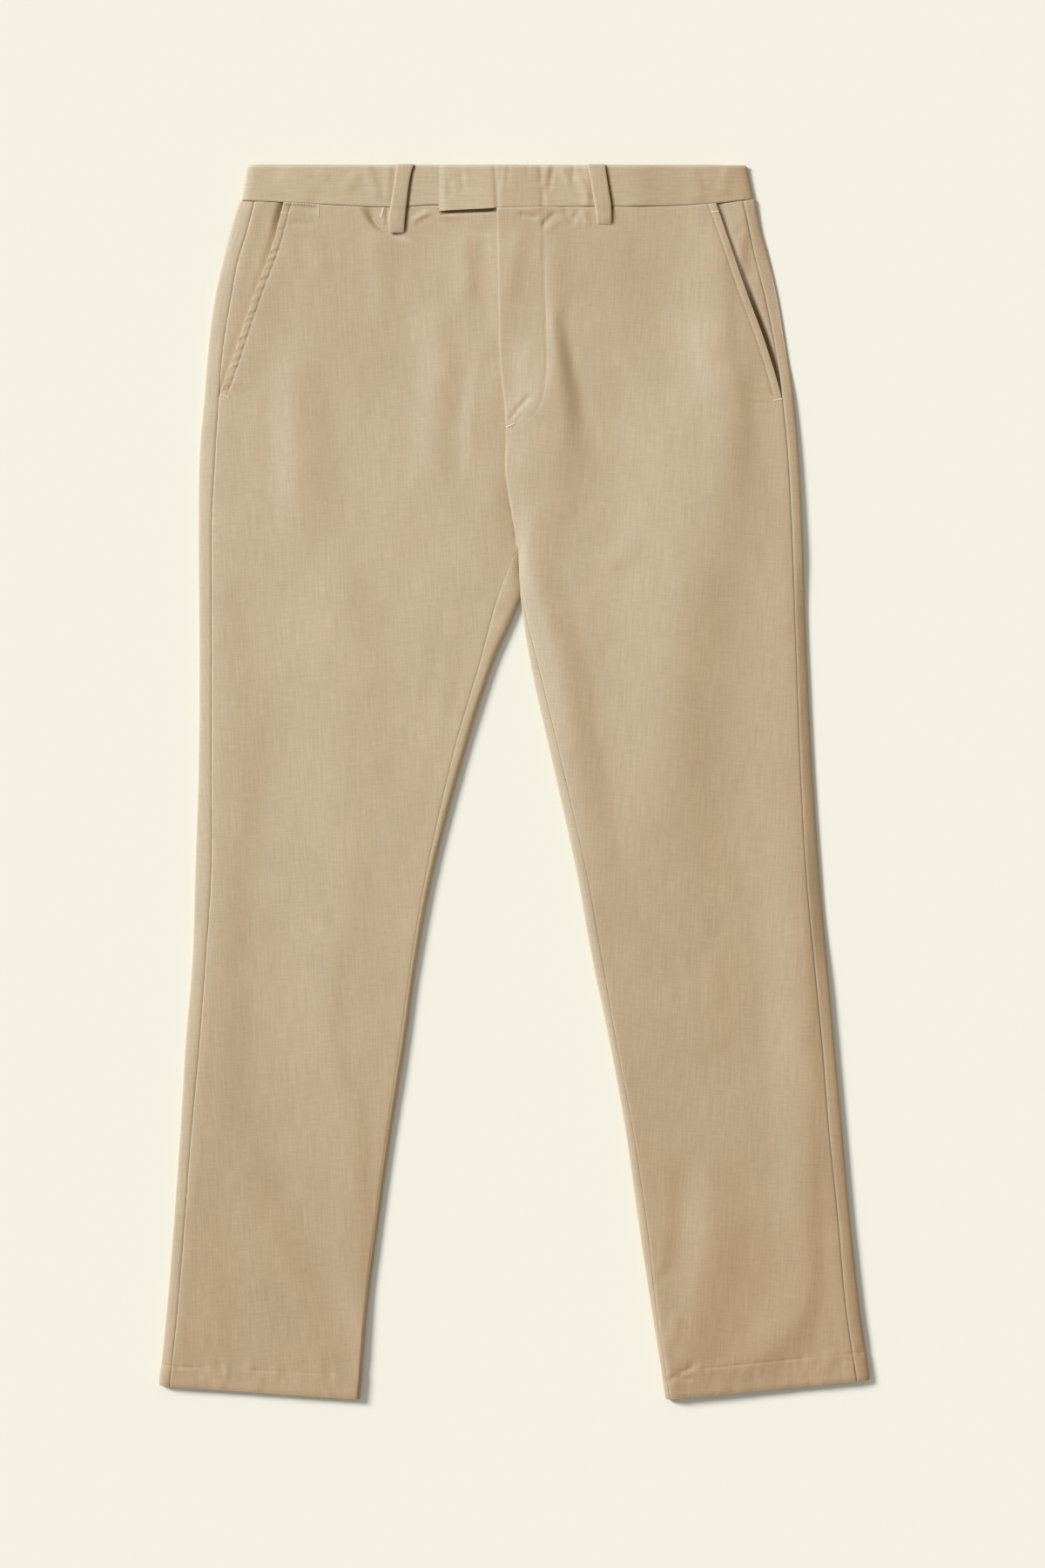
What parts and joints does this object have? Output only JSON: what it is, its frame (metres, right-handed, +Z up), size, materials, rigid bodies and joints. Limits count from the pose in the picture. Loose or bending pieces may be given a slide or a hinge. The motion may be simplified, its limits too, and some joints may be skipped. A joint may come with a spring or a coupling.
{
  "type": "chino trousers",
  "caption": "Slim tapered chino trousers laid flat, front up, with slanted pockets, belt loops and a fly closed by a hidden tab fastening.",
  "frame": {"origin": "under the middle of the laid-out garment, on the surface that it lies on", "axes": "+Y from the hems to the waistband, +X to the wearer's left, +Z up, out of the front"},
  "size_m": [0.6104, 1.0642, 0.0102],
  "materials": {
    "cotton_twill": "matte brushed cotton twill"
  },
  "bodies": {
    "root": {"front_right": "cotton_twill", "front_left": "cotton_twill", "back_right": "cotton_twill", "back_left": "cotton_twill", "pocket_facing_right": "cotton_twill", "pocket_facing_left": "cotton_twill", "waistband_right": "cotton_twill", "waistband_left": "cotton_twill", "belt_loop_front_right": "cotton_twill", "belt_loop_front_left": "cotton_twill", "belt_loop_back_right": "cotton_twill", "belt_loop_back_centre": "cotton_twill", "belt_loop_back_left": "cotton_twill"}
  },
  "joints": []
}
